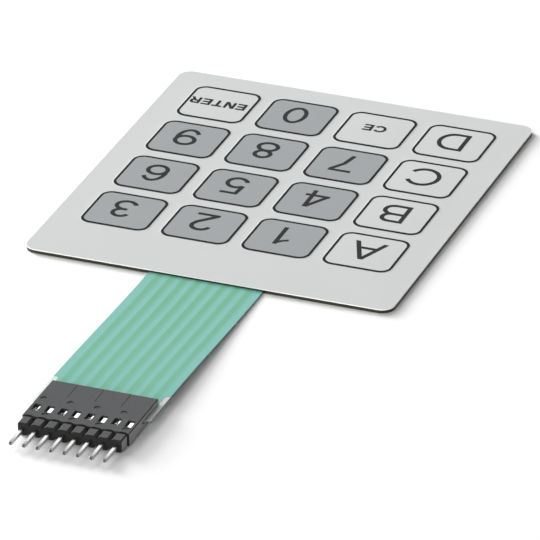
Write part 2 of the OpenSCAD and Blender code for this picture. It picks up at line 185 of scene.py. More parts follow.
# Bright white metal
tin_plate = grained("tin plate on bronze", "#f6f6f4", "#ecece9", 0.8, 0.2, 0.002, (0.2, 0.3), Metallic=1.0)
# The same tin painted greyer than the contacts, as painted shade, with sharper reflections
tin_wire_painted_shade = grained("tin plate on drawn wire", "#c2c3c3", "#b8b9b9", 0.5, 0.15, 0.002, (0.18, 0.28),
                   Metallic=1.0)
# Bronze darkened to a dull brown-grey as painted shade, mostly without reflections
bronze_end_painted_shade = grained("bronze, sheared end", "#5c5850", "#4a463f", 0.3, 0.1, 0.004, (0.5, 0.7),
                      Metallic=0.3)
print("connector finishes:", [m.name for m in (clear_film, socket_plastic, header_plastic, tin_plate)])

# %% [markdown]
# ### The green coat
# The coat is a thin green ink that insulates the tail, and the silver under it shows through as greener
# stripes. It could be a see-through layer over real stripes, but a plain mix of two colours survives an
# export better. So the finish mixes them by an attribute that the coat's own mesh will carry.

# %% Green coat
OVER_SILVER = ("#63a788", "#5da081")
MOTTLE = 1.6


def green_coat_material():
    """Green dielectric coat: paler over bare film, darker where the silver shows through."""
    material = grained("green dielectric coat, screen printed", "#72b2a7", "#6eaea3", 8, 0.45, 0.004,
                       (0.4, 0.5), Specular_IOR_Level=0.2)
    tree = material.node_tree
    shader = tree.nodes["Principled BSDF"]
    bare = shader.inputs["Base Color"].links[0].from_socket
    over = mixed(tree, noise(tree, MOTTLE, detail=3), *[linear(code) for code in OVER_SILVER])
    silver = add(tree, "ShaderNodeAttribute", attribute_name="over_conductor").outputs["Fac"]
    tree.links.new(mixed(tree, silver, bare, over), shader.inputs["Base Color"])
    return material


green_coat = green_coat_material()
print("green coat:", len(green_coat.node_tree.nodes), "nodes")

# %% [markdown]
# ## Sheets with thickness
# Every film and print here is a flat shape with a thickness. A plane with a Solidify modifier could give
# that, but its rim would lean where the sheet is curved. So one function takes the flat faces, lays them
# at an upper height, turns a copy over at a lower one and closes the rim, and no piece is an open sheet.
# Heights may be numbers or functions of the place, which the tail needs.

# %% Closed sheets
CREASE = 30


def place_piece(name, mesh, crease=CREASE):
    """An object at the origin for a finished mesh, smooth up to a crease angle in degrees."""
    mesh.validate()
    mesh.shade_smooth()
    mesh.set_sharp_from_angle(angle=math.radians(crease))
    piece = bpy.data.objects.new(name, mesh)
    bpy.context.scene.collection.objects.link(piece)
    return piece


def slab(name, points, faces, low, high, crease=CREASE):
    """A closed sheet between two heights over flat faces, whose corners run counter-clockwise."""
    level = [h if callable(h) else (lambda x, y, h=h: h) for h in (high, low)]
    corners = [(x, y, f(x, y)) for f in level for x, y in points]
    count = len(points)
    sides = {(a, b) for face in faces for a, b in zip(face, [*face[1:], face[0]])}
    rim = [(a, a + count, b + count, b) for a, b in sorted(sides) if (b, a) not in sides]
    under = [[i + count for i in reversed(face)] for face in faces]
    mesh = bpy.data.meshes.new(name)
    mesh.from_pydata(corners, [], [*faces, *under, *rim])
    return place_piece(name, mesh, crease)


# %% [markdown]
# ### Finishes and names
# A piece may have one finish or several, such as a film with a different cut edge. Faces could be picked
# by hand, but a rule that looks at each face still holds when a size changes. A finished piece is then
# attached to the root, and the nodes of the frame that it stands for are hidden.

# %% Dress a piece and attach it
STEEP = 0.5


def dress(piece, finishes, pick=lambda face: 0):
    """Gives a piece its finishes. With more than one, pick tells which of them a face has."""
    # A mesh that a tree made can start with an empty slot, so the slots are set afresh
    piece.data.materials.clear()
    for finish in finishes:
        piece.data.materials.append(finish)
    for face in piece.data.polygons:
        face.material_index = int(pick(face))


def upright(face):
    """Whether a face stands on edge, as the cut edge of a film does."""
    return abs(face.normal.z) < STEEP


def hand_in(piece, slot, *nodes):
    """Attaches a finished piece to the root and hides the nodes that it stands for. The slot is not used.
    """
    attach(piece, "root")
    if nodes:
        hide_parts(*nodes)
    print(piece.name, len(piece.data.polygons), "faces, stands for", ", ".join(nodes) or "no node")


# %% [markdown]
# ## Where the keys are
# Sixteen keys stand on a square grid, and the number keys are grey. Their places could be typed one by
# one, but the frame knows the middle of the printed outlines, and the pitch gives the rest. A key's edge
# is a square with round corners, and rings of that square, wider or narrower by a step, follow the slope
# of the embossing.

# %% Key grid
SIDE = 4
HALF_GRID = (SIDE - 1) / 2
KEY_PITCH = 16 * MM
KEY_WIDTH = 13 * MM
KEY_RADIUS = 2 * MM
CORNER_STEPS = 8
LEGENDS = [["A", "1", "2", "3"], ["B", "4", "5", "6"], ["C", "7", "8", "9"], ["D", "CE", "0", "ENTER"]]
outline_low, outline_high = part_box("key_outline_print")
KEYS_MIDDLE = (outline_low + outline_high) / 2


def key_centre(row, column):
    """The middle of a key, with row 0 at the tail's side."""
    x = KEYS_MIDDLE.x + (column - HALF_GRID) * KEY_PITCH
    y = KEYS_MIDDLE.y + (HALF_GRID - row) * KEY_PITCH
    return Vector((x, y, 0))


def rounded(half_x, half_y, radius):
    """A rectangle with round corners about the origin, counter-clockwise."""
    points = []
    for quarter, (sx, sy) in enumerate(((1, 1), (-1, 1), (-1, -1), (1, -1))):
        for step in range(CORNER_STEPS + 1):
            a = math.pi / 2 * (quarter + step / CORNER_STEPS)
            x = sx * (half_x - radius) + radius * math.cos(a)
            y = sy * (half_y - radius) + radius * math.sin(a)
            points.append((x, y))
    return points


def key_ring(step, spread=1):
    """The key's edge, moved outward by a step, which may be wider along Y."""
    half = KEY_WIDTH / 2
    return rounded(half + step, half + step * spread, KEY_RADIUS + step)


def edge_distance(x, y):
    """How far a point lies outside the edge of a key at the origin, negative inside it."""
    core = KEY_WIDTH / 2 - KEY_RADIUS
    past_x, past_y = abs(x) - core, abs(y) - core
    return math.hypot(max(past_x, 0), max(past_y, 0)) + min(max(past_x, past_y), 0) - KEY_RADIUS


all_keys = [(row, column) for row in range(SIDE) for column in range(SIDE)]
grey_keys = [(row, column) for row, column in all_keys if LEGENDS[row][column].isdigit()]
key_centres = [key_centre(*key) for key in all_keys]
print("keys:", len(all_keys), "of which grey:", len(grey_keys))

# %% [markdown]
# ## Geometry trees that run once
# A geometry tree is a rule that Blender applies to a mesh. It could stay on its object as a modifier, but
# a library needs plain meshes. So a tree is run once, with its inputs set by their identifiers, and the
# result is kept as the piece's own mesh. Every tree ends by making copies real and setting a material.


# %% Begin, end and run a tree
def new_tree(name, sockets):
    """An empty geometry tree with these named inputs after the geometry itself."""
    tree = bpy.data.node_groups.new(name, "GeometryNodeTree")
    tree.interface.new_socket("Geometry", in_out="INPUT", socket_type="NodeSocketGeometry")
    for socket, kind in sockets.items():
        tree.interface.new_socket(socket, in_out="INPUT", socket_type="NodeSocket" + kind)
    tree.interface.new_socket("Geometry", in_out="OUTPUT", socket_type="NodeSocketGeometry")
    return tree, add(tree, "NodeGroupInput").outputs


def end_tree(tree, geometry, material):
    """Makes copies real, sets the material and hands the geometry out."""
    real = add(tree, "GeometryNodeRealizeInstances", {"Geometry": geometry})
    dressed = add(tree, "GeometryNodeSetMaterial", {"Geometry": real, "Material": material})
    add(tree, "NodeGroupOutput", {0: dressed})


def run_tree(piece, tree, values):
    """Runs a tree on a piece once and keeps the result as the piece's own plain mesh."""
    build = piece.modifiers.new("build", "NODES")
    build.node_group = tree
    for socket in tree.interface.items_tree:
        if socket.in_out == "INPUT" and socket.name in values:
            build[socket.identifier] = values[socket.name]
    graph = bpy.context.evaluated_depsgraph_get()
    made = bpy.data.meshes.new_from_object(piece.evaluated_get(graph))
    piece.modifiers.remove(build)
    piece.data = made
    made.name = piece.name


# %% [markdown]
# ## The rule of the embossing
# Each key is pressed up by a twentieth of a millimetre, with a soft slope along the outer side of its
# printed outline. Each key could be modelled raised, but whatever lies on the film, bare face or print,
# rises with it. So the rule is one tree that is run on each flat piece in turn: it finds the nearest key,
# measures how far a point lies from that key's round-cornered edge, and lifts it by a smooth step.

# %% Relief tree
RELIEF = {"Pitch": KEY_PITCH, "Half key": KEY_WIDTH / 2, "Corner": KEY_RADIUS, "Height": 0.05 * MM,
          "Foot": 0.55 * MM, "Shoulder": 0.15 * MM}


def build_relief_tree():
    """Lifts every point by its distance from the edge of the nearest key."""
    sockets = {"Middle": "Vector", **{name: "Float" for name in RELIEF}, "Material": "Material"}
    tree, given = new_tree("key relief", sockets)

    def vector(operation, *values):
        return add(tree, "ShaderNodeVectorMath", dict(enumerate(values)), operation=operation)

    def number(operation, *values):
        return add(tree, "ShaderNodeMath", dict(enumerate(values)), operation=operation)

    # The point from the middle of the grid, and then from the middle of its nearest key
    moved = vector("SUBTRACT", add(tree, "GeometryNodeInputPosition"), given["Middle"])
    flat = vector("MULTIPLY", moved, (1, 1, 0))
    steps = vector("DIVIDE", flat, given["Pitch"])
    shifted = vector("ADD", steps, (SIDE / 2, SIDE / 2, 0.5))
    first = vector("MAXIMUM", vector("FLOOR", shifted), (0, 0, 0))
    last = vector("MINIMUM", first, (SIDE - 1, SIDE - 1, 0))
    centred = vector("SUBTRACT", last, (HALF_GRID, HALF_GRID, 0))
    local = vector("SUBTRACT", flat, vector("MULTIPLY", centred, given["Pitch"]))
    # How far it lies outside that key's edge, negative inside
    core = number("SUBTRACT", given["Half key"], given["Corner"])
    past = vector("SUBTRACT", vector("ABSOLUTE", local), core)
    outside = vector("LENGTH", vector("MAXIMUM", past, (0, 0, 0))).outputs["Value"]
    axes = add(tree, "ShaderNodeSeparateXYZ", {0: past}).outputs
    inside = number("MINIMUM", number("MAXIMUM", axes["X"], axes["Y"]), 0.0)
    distance = number("SUBTRACT", number("ADD", outside, inside), given["Corner"])
    # The lift, from nothing at the foot of the slope to the full height at its shoulder
    slope = {"Value": distance, "From Min": given["Foot"], "From Max": given["Shoulder"],
             "To Max": given["Height"]}
    rise = add(tree, "ShaderNodeMapRange", slope, interpolation_type="SMOOTHSTEP")
    lift = add(tree, "ShaderNodeCombineXYZ", {"Z": rise})
    lifted = add(tree, "GeometryNodeSetPosition", {"Geometry": given["Geometry"], "Offset": lift})
    end_tree(tree, lifted, given["Material"])
    return tree


relief_tree = build_relief_tree()


def emboss(piece, material):
    """Lifts a flat piece over the keys, as the film under it is lifted."""
    run_tree(piece, relief_tree, {"Middle": KEYS_MIDDLE, "Material": material, **RELIEF})


print("relief tree:", len(relief_tree.nodes), "nodes")

# %% [markdown]
# ## The overlay
# The overlay is one sheet of film, flat but for its keys. A fine grid could carry the embossing, but it
# needs many faces where it bends and few where it doesn't. So each key gets close rings over its slope
# and one face on top, and a constrained triangulation fills the flat film between the outermost rings
# and the plate's edge.

# %% Overlay film
FILM_THICK = 0.2 * MM
PLATE_RADIUS = 2.5 * MM
SLOPE_STEPS = [step * 0.1 * MM for step in range(6, 0, -1)]
INSIDE_LINES = 1
SNAP = 1e-7
film_low, film_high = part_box("graphic_overlay")
FACE_Z = film_low.z + FILM_THICK


def nest(rings):
    """Points and faces of rings that lie inside one another, and the face inside the last."""
    size = len(rings[0])
    faces = []
    for k in range(len(rings) - 1):
        for i in range(size):
            j = (i + 1) % size
            faces.append([k * size + i, k * size + j, (k + 1) * size + j, (k + 1) * size + i])
    core = [(len(rings) - 1) * size + i for i in range(size)]
    return [p for ring in rings for p in ring], faces, core


def overlay_layout():
    """The flat layout of the overlay: rings at each key, and triangles between them."""
    edge = rounded((film_high.x - film_low.x) / 2, (film_high.y - film_low.y) / 2, PLATE_RADIUS)
    points, faces, loops = list(edge), [], [list(range(len(edge)))]
    ring_points, ring_faces, core = nest([key_ring(step) for step in SLOPE_STEPS])
    for centre in key_centres:
        start = len(points)
        points += [(x + centre.x, y + centre.y) for x, y in ring_points]
        faces += [[i + start for i in face] for face in [*ring_faces, core]]
        loops.append([start + i for i in range(len(edge))])
    outer = [i for loop in loops for i in loop]
    index = {old: new for new, old in enumerate(outer)}
    flat = [Vector(points[i]) for i in outer]
    lines = [(index[loop[i - 1]], index[loop[i]]) for loop in loops for i in range(len(loop))]
    triangles = delaunay_2d_cdt(flat, lines, [], INSIDE_LINES, SNAP)[2]
    for triangle in triangles:
        middle = sum((flat[i] for i in triangle), Vector((0, 0))) / 3
        if all(edge_distance(middle.x - c.x, middle.y - c.y) > SLOPE_STEPS[0] for c in key_centres):
            faces.append([outer[i] for i in triangle])
    return points, faces


overlay = slab("embossed_overlay", *overlay_layout(), FACE_Z - FILM_THICK, FACE_Z)
emboss(overlay, overlay_film)
dress(overlay, [overlay_film, overlay_edge], upright)
hand_in(overlay, "overlay_film", "graphic_overlay")

# %% [markdown]
# ## Outlines and grey fields
# The print repeats from key to key: a black line round each, a little wider along its near and far
# sides, and a grey field inside the number keys. It could be drawn in the overlay's material, but print
# has sharp edges that a mesh keeps at any distance. A stamp tree sets one shape on every point of a small
# mesh that marks the keys, and the relief tree lays the copies over the slope. The real ink lies behind
# the film. Here it is a hundredth of a millimetre proud of the face, so that it shows.

# %% Stamp tree
INK = 0.012 * MM


def build_stamp_tree():
    """Sets a copy of the stamp on each point of the mesh that it runs on."""
    tree, given = new_tree("stamp on points", {"Stamp": "Object", "Material": "Material"})
    shape = add(tree, "GeometryNodeObjectInfo", {"Object": given["Stamp"]}).outputs["Geometry"]
    copies = add(tree, "GeometryNodeInstanceOnPoints", {"Points": given["Geometry"], "Instance": shape})
    end_tree(tree, copies, given["Material"])
    return tree


stamp_tree = build_stamp_tree()


def stamp(name, shape, points, material):
    """One piece made of a copy of the shape on each point, and the shape itself is removed."""
    marks = bpy.data.meshes.new(name)
    marks.from_pydata(points, [], [])
    piece = bpy.data.objects.new(name, marks)
    bpy.context.scene.collection.objects.link(piece)
    run_tree(piece, stamp_tree, {"Stamp": shape, "Material": material})
    bpy.data.objects.remove(shape)
    return piece


def lay_print(piece, ink, slot, *nodes):
    """Lays a flat print over the keys, gives it its ink and attaches it to the root."""
    emboss(piece, ink)
    dress(piece, [ink])
    hand_in(piece, slot, *nodes)


print("stamp tree:", len(stamp_tree.nodes), "nodes")

# %% Key outlines and grey fields
OUTLINE_WIDTH = 0.5 * MM
LINE_SPREAD = 1.3
LINE_SHARES = (0.5, 0.17, -0.17, -0.5)
line_steps = [OUTLINE_WIDTH * share for share in LINE_SHARES]
line_points, line_faces, _ = nest([key_ring(step, LINE_SPREAD) for step in line_steps])
line_stamp = slab("line_stamp", line_points, line_faces, FACE_Z, FACE_Z + INK)
outlines = stamp("key_outlines", line_stamp, key_centres, black_ink)
lay_print(outlines, black_ink, "black_ink", "key_outline_print")

field_edge = key_ring(line_steps[-1], LINE_SPREAD)
field_stamp = slab("field_stamp", field_edge, [list(range(len(field_edge)))], FACE_Z, FACE_Z + INK)
fields = stamp("grey_key_fields", field_stamp, [key_centre(*key) for key in grey_keys], grey_ink)
lay_print(fields, grey_ink, "grey_ink", "grey_key_print")

# %% [markdown]
# ## Letters drawn with a pen
# The legends are plain numbers and letters in an even stroke. A font would do, but its strokes can't
# be set, so a pen draws them: bars, slanted strokes with level ends, and bows that follow an ellipse.
# Strokes overlap where they meet, and a constrained triangulation of them all leaves one clean outline.

# %% Pen strokes
BOW_STEPS = 28


def bow(pen, x, y, rx, ry, start, end):
    """A stroke along an ellipse about x, y between two angles, by its middle line, as quads."""
    turns = [math.radians(start + (end - start) * k / BOW_STEPS) for k in range(BOW_STEPS + 1)]
    outer, inner = [[(x + (rx + s) * math.cos(a), y + (ry + s) * math.sin(a)) for a in turns]
                    for s in (pen / 2, -pen / 2)]
    return [[outer[k], outer[k + 1], inner[k + 1], inner[k]] for k in range(BOW_STEPS)]


def bar(x0, y0, x1, y1):
    """An upright rectangle between two corners."""
    return [[(x0, y0), (x1, y0), (x1, y1), (x0, y1)]]


def slant(pen, x0, y0, x1, y1):
    """A straight stroke with level ends."""
    half = pen / 2 * math.hypot(x1 - x0, y1 - y0) / abs(y1 - y0)
    return [[(x0 - half, y0), (x0 + half, y0), (x1 + half, y1), (x1 - half, y1)]]


def turned(strokes, width):
    """The same strokes turned upside down in their box."""
    return [[(width - x, 1 - y) for x, y in quad] for quad in strokes]


# %% [markdown]
# ### The letters
# Each letter is written in a box one unit high, with its strokes' middle lines about half a pen inside
# the box. Most numbers are about two thirds as wide as they are high, and level strokes are a little
# thinner than upright ones. The two word keys use a heavier pen, and their letters stand a little over
# a third as high as a number.

# %% Letter strokes
LEVEL_PEN = 0.93
SLANT_INSET = 0.6


def letters(pen):
    """Width and strokes of each letter for a pen of this width, in a box one unit high."""
    h = pen / 2
    low, high = pen * LEVEL_PEN, 1 - pen * LEVEL_PEN
    inset = pen * SLANT_INSET
    six = [*bow(pen, 0.33, 0.315, 0.33 - h, 0.315 - h, 0, 360),
           *bow(pen, 0.34, 0.5, 0.34 - h, 0.5 - h, 32, 205)]
    return {
        "0": (0.66, bow(pen, 0.33, 0.5, 0.33 - h, 0.5 - h, 0, 360)),
        "1": (0.37, [*bar(0.37 - pen, 0, 0.37, 1),
                     [(0, 0.64), (0.13, 0.7), (0.13, 0.815), (0, 0.755)],
                     [(0.13, 0.7), (0.26, 0.79), (0.37, 1), (0.29, 1), (0.13, 0.815)]]),
        "2": (0.66, [*bow(pen, 0.33, 0.71, 0.31 - h, 0.29 - h, 172, -32), *bar(0.01, 0, 0.65, low),
                     [(0.01, 0), (0.2, 0.1), (0.56, 0.47), (0.6, 0.56),
                      (0.49, 0.63), (0.45, 0.55), (0.04, 0.14)]]),
        "3": (0.65, [*bow(pen, 0.31, 0.735, 0.215, 0.265 - h, 165, -90),
                     *bow(pen, 0.315, 0.295, 0.325 - h, 0.295 - h, 90, -165),
                     *bar(0.2, 0.53 - h, 0.32, 0.53 + h)]),
        "4": (0.69, [*bar(0.43, 0, 0.43 + pen, 1), *bar(0, 0.24, 0.69, 0.24 + low),
                     *slant(pen, 0.07, 0.3, 0.484, 1)]),
        "5": (0.65, [*bar(0.13, high, 0.6, 1), *slant(pen, 0.1, 0.48, 0.16, 1),
                     *bow(pen, 0.32, 0.33, 0.33 - h, 0.33 - h, 145, -162)]),
        "6": (0.66, six),
        "7": (0.65, [*bar(0.01, high, 0.645, 1), *slant(pen, 0.33, 0.5, 0.58, high),
                     *slant(pen, 0.22, 0, 0.33, 0.5)]),
        "8": (0.66, [*bow(pen, 0.33, 0.735, 0.215, 0.265 - h, 0, 360),
                     *bow(pen, 0.33, 0.29, 0.33 - h, 0.29 - h, 0, 360)]),
        "9": (0.66, turned(six, 0.66)),
        "A": (0.92, [*slant(pen, 0.065, 0, 0.46, 1), *slant(pen, 0.855, 0, 0.46, 1),
                     *bar(0.2, 0.29, 0.72, 0.29 + low)]),
        "B": (0.75, [*bar(0, 0, pen, 1), *bar(0, high, 0.42, 1), *bar(0, 0.475, 0.44, 0.475 + low),
                     *bar(0, 0, 0.46, low), *bow(pen, 0.42, 0.737, 0.265 - h, 0.264 - h, 90, -90),
                     *bow(pen, 0.46, 0.295, 0.29 - h, 0.295 - h, 90, -90)]),
        "C": (0.9, bow(pen, 0.49, 0.5, 0.49 - h, 0.52 - h, 32, 328)),
        "D": (0.82, [*bar(0, 0, pen, 1), *bar(0, high, 0.38, 1), *bar(0, 0, 0.38, low),
                     *bow(pen, 0.38, 0.5, 0.44 - h, 0.5 - h, 90, -90)]),
        "E": (0.72, [*bar(0, 0, pen, 1), *bar(0, high, 0.72, 1),
                     *bar(0, 0.5 - low / 2, 0.68, 0.5 + low / 2), *bar(0, 0, 0.72, low)]),
        "N": (0.82, [*bar(0, 0, pen, 1), *bar(0.82 - pen, 0, 0.82, 1),
                     *slant(pen, 0.82 - inset, 0, inset, 1)]),
        "R": (0.84, [*bar(0, 0, pen, 1), *bar(0, high, 0.48, 1), *bar(0, 0.42, 0.48, 0.42 + low),
                     *bow(pen, 0.48, 1 - h - 0.24, 0.3 - h, 0.24, 90, -90),
                     *slant(pen, 0.84 - inset, 0, 0.46, 0.46)]),
        "T": (0.78, [*bar(0, high, 0.78, 1), *bar(0.39 - h, 0, 0.39 + h, 1)]),
    }


NUMBER_PEN = 0.124
WORD_PEN = 0.22
number_letters = letters(NUMBER_PEN)
word_letters = letters(WORD_PEN)
print("letters:", "".join(number_letters))

# %% [markdown]
# ### The legends
# A legend stands a little below its key's middle and right of it, and not quite alike on each key. One
# rule could centre them all, but the print in the photograph isn't that regular. So the left end and the
# base of each are listed, in millimetres from the middle of its key, and the numbers that aren't listed
# share one place.

# %% Legends on the keys
LEGEND_HEIGHT = 7.0 * MM
WORD_HEIGHT = 2.6 * MM
LETTER_GAP = 0.14
LEGEND_INK = 1.6 * INK
NUMBER_PLACE = (-1.8, -4.25)
PLACES = {"1": (-1.0, -4.2), "3": (-1.7, -4.2), "4": (-2.0, -4.35), "5": (-1.75, -4.4), "6": (-1.8, -4.1),
          "A": (-3.05, -3.9), "B": (-2.05, -3.95), "C": (-2.75, -4.1), "D": (-2.25, -4.1),
          "CE": (-1.95, -2.1), "ENTER": (-5.4, -1.7)}
WHOLE_HULL = 0
FINE_SNAP = 1e-8


def outward(quad):
    """The corners of a quad, counter-clockwise."""
    area = sum(a[0] * b[1] - b[0] * a[1] for a, b in zip(quad, [*quad[1:], quad[0]]))
    return quad if area > 0 else quad[::-1]


def legend_strokes(legend, centre):
    """The strokes of a key's legend, in place on the plate."""
    single = len(legend) == 1
    alphabet, size = (number_letters, LEGEND_HEIGHT) if single else (word_letters, WORD_HEIGHT)
    left, base = PLACES.get(legend, NUMBER_PLACE)
    x, y = centre.x + left * MM, centre.y + base * MM
    strokes = []
    for letter in legend:
        width, quads = alphabet[letter]
        strokes += [outward([(x + u * size, y + v * size) for u, v in quad]) for quad in quads]
        x += (width + LETTER_GAP) * size
    return strokes


def joined(strokes):
    """Points and triangles of overlapping strokes made one flat shape."""
    corners = [Vector(p) for quad in strokes for p in quad]
    starts = [sum(len(q) for q in strokes[:k]) for k in range(len(strokes))]
    quads = [list(range(s, s + len(q))) for s, q in zip(starts, strokes)]
    points, _, triangles, _, _, origins = delaunay_2d_cdt(corners, [], quads, WHOLE_HULL, FINE_SNAP)
    return points, [list(t) for t, source in zip(triangles, origins) if source]


legend_points, legend_faces = [], []
for row, column in all_keys:
    points, triangles = joined(legend_strokes(LEGENDS[row][column], key_centre(row, column)))
    legend_faces += [[i + len(legend_points) for i in t] for t in triangles]
    legend_points += [(p.x, p.y) for p in points]
legends = slab("key_legends", legend_points, legend_faces, FACE_Z, FACE_Z + LEGEND_INK)
lay_print(legends, legend_ink, "black_ink")

# %% [markdown]
# ## The green coat of the tail
# The tail leaves the plate low and rises in a gentle S to the middle of the socket. Its coat follows
# that rise and has a low ridge over each conductor. Near the socket the coat's margins stop short, in
# a small round corner, and leave the clear film bare. A plain strip with a bump could stand for it, but
# the ridges catch the light along the whole tail. So a grid of columns and rows holds all of that, and an
# attribute says how much silver shows: soft at a conductor's edges, and fainter toward the socket.

# %% Along and across the tail
CONDUCTORS = 8
CONDUCTOR_PITCH = 2.54 * MM
CONDUCTOR_WIDTH = 1.27 * MM
TAIL_FILM = 0.125 * MM
FLANK = 0.3 * MM
FADE = 0.22
tail_low, tail_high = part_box("lower_circuit_film")
coat_low, coat_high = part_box("tail_coating")
socket_low, socket_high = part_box("connector_housing")
TAIL_MIDDLE = (coat_low.x + coat_high.x) / 2
lanes = [(i - (CONDUCTORS - 1) / 2) * CONDUCTOR_PITCH for i in range(CONDUCTORS)]


def clamped(share):
    """A share kept between 0 and 1."""
    return min(max(share, 0), 1)


def tail_top(y):
    """The height of the tail film's upper face at a place along it."""
    t = clamped((y - coat_low.y) / (socket_low.y - coat_low.y))
    return tail_low.z + TAIL_FILM + (tail_high.z - tail_low.z - TAIL_FILM) * t * t * (3 - 2 * t)


def beside(x):
    """How far a place across the tail lies outside its nearest conductor, negative over it."""
    return min(abs(x - TAIL_MIDDLE - lane) for lane in lanes) - CONDUCTOR_WIDTH / 2


def over_conductor(x):
    """1 over a conductor, 0 beside it, and a short slope between."""
    return clamped(1 - beside(x) / FLANK)


def silver_shown(x, y):
    """How much of the silver shows through: soft at a conductor's edges, fainter to the socket."""
    along = (y - coat_low.y) / (coat_high.y - coat_low.y)
    return clamped(0.5 - beside(x) / (2 * FLANK)) * (1 - FADE * along)


print("tail rises by", round((tail_high.z - tail_low.z - TAIL_FILM) / MM, 2), "mm")

# %% Tail coat
COAT = 0.03 * MM
PRINT = 0.03 * MM
RIDGE = 0.012 * MM
FLANK_CREASE = 1
CLEAR_LENGTH = 3.3 * MM
CLEAR_CORNER = 0.9 * MM
BEND_STEPS = 6
COAT_ROWS = 40
TONGUE = CONDUCTORS * CONDUCTOR_PITCH / 2
TAIL_HALF = (coat_high.x - coat_low.x) / 2


def coat_layout():
    """Columns across the tail and rows along it, cut back at the margins with a round corner."""
    bends = [math.pi / 2 * k / BEND_STEPS for k in range(BEND_STEPS + 1)]
    corner_x = [TONGUE + CLEAR_CORNER * (1 - math.cos(b)) for b in bends]
    corner_y = [socket_low.y - CLEAR_LENGTH + CLEAR_CORNER * (1 - math.sin(b)) for b in bends]
    half = CONDUCTOR_WIDTH / 2
    sides = [half - FLANK, half, half + FLANK]
    across = [lane + side * sign for lane in lanes for side in sides for sign in (-1, 1)]
    margins = [*corner_x, TAIL_HALF]
    xs = sorted([*across, *margins, *(-m for m in margins)])
    ys = [coat_low.y + (corner_y[-1] - coat_low.y) * k / COAT_ROWS for k in range(COAT_ROWS)]
    ys += [*reversed(corner_y), socket_low.y, coat_high.y]
    points = [(TAIL_MIDDLE + x, y) for y in ys for x in xs]
    margin_ends = dict(zip(margins, [*corner_y, corner_y[-1]]))
    end = [margin_ends.get(abs(x), coat_high.y) for x in xs]
    faces = []
    for j in range(len(ys) - 1):
        for i in range(len(xs) - 1):
            inner = abs(xs[i] + xs[i + 1]) / 2 < TONGUE
            corners = [(i, j), (i + 1, j), (i + 1, j + 1), (i, j + 1)]
            kept = [(a, b) for a, b in corners if inner or ys[b] <= end[a]]
            if len(kept) > 2:
                faces.append([b * len(xs) + a for a, b in kept])
    used = sorted({i for face in faces for i in face})
    renumber = {old: new for new, old in enumerate(used)}
    return [points[i] for i in used], [[renumber[i] for i in face] for face in faces]


coat = slab("green_tail_coat", *coat_layout(), lambda x, y: tail_top(y) + PRINT * over_conductor(x),
            lambda x, y: tail_top(y) + COAT + RIDGE * over_conductor(x), FLANK_CREASE)
shown = coat.data.attributes.new("over_conductor", "FLOAT", "POINT")
shown.data.foreach_set("value", [silver_shown(v.co.x, v.co.y) for v in coat.data.vertices])
dress(coat, [green_coat])
hand_in(coat, "green_coat", "tail_coating")

# %% [markdown]
# ## Mouldings with broken edges
# The socket and the header body have the right form in the frame, but every edge is a knife edge, and
# real mouldings catch a thin line of light there. They could be modelled again, but the frame's form is
# the true one. So a copy of the node is merged into whole faces and its outer edges are rounded by a few
# hundredths of a millimetre. Their two ends are painted pale, as a painted sheen of light from the side.

# %% Moulded copies
MOULD_CREASE = 5
FLAT_ANGLE = 1
SHARP_ANGLE = 25
END_SKIN = 0.02 * MM


def moulded(name, node, radius):
    """A copy of a node with its flat faces made whole and its convex edges rounded."""
    shape = bmesh.new()
    shape.from_mesh(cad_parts[node].data)
    bmesh.ops.remove_doubles(shape, verts=shape.verts, dist=SNAP)
    bmesh.ops.dissolve_limit(shape, angle_limit=math.radians(FLAT_ANGLE), verts=shape.verts,
                             edges=shape.edges)
    sharp = [e for e in shape.edges if e.is_convex and e.calc_face_angle(0) > math.radians(SHARP_ANGLE)]
    bmesh.ops.bevel(shape, geom=sharp, offset=radius, segments=2, profile=0.5, affect="EDGES",
                    clamp_overlap=True)
    mesh = bpy.data.meshes.new(name)
    shape.to_mesh(mesh)
    shape.free()
    return place_piece(name, mesh, MOULD_CREASE)


def at_end(face, low, high):
    """Whether a face lies at one of the two ends of a row along X."""
    return not low.x + END_SKIN < face.center.x < high.x - END_SKIN


# %% Socket and header body
SOCKET_EDGE = 0.05 * MM
HEADER_EDGE = 0.06 * MM
PARTING = 0.9
header_low, header_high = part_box("header_body")


def header_finish(face):
    """The header's own finish, its front and back, or its ends with the painted sheen, by number."""
    return 2 if at_end(face, header_low, header_high) else abs(face.normal.y) > PARTING


socket = moulded("tail_socket", "connector_housing", SOCKET_EDGE)
# The socket's two ends are painted pale, as a painted sheen
dress(socket, [socket_plastic, end_painted_sheen], lambda face: at_end(face, socket_low, socket_high))
hand_in(socket, "socket_plastic", "connector_housing")
header = moulded("pin_header_body", "header_body", HEADER_EDGE)
# The header's two ends are painted pale, as a painted sheen
dress(header, [header_plastic, header_face, end_painted_sheen], header_finish)
hand_in(header, "header_plastic", "header_body")

# %% [markdown]
# ## The pins
# Eight tin-plated square pins with tapered ends run through the header, and their sheared ends show dull
# bronze, darkened to brown-grey as painted shade. A bevelled box could stand for a pin, but its taper
# would still be missing. So one pin is modelled along its length from a few square sections with broken
# corners, and the stamp tree sets the eight of them in a row. They are one piece, because they move as one.

# %% Header pins
PIN_TAPER = 0.3 * MM
PIN_TIP = 0.45 * MM
PIN_CORNER = 0.12
END_ON = 0.99
pin_low, pin_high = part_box("header_pin_1")
pin_width = pin_high.z - pin_low.z
pin_z = (pin_low.z + pin_high.z) / 2


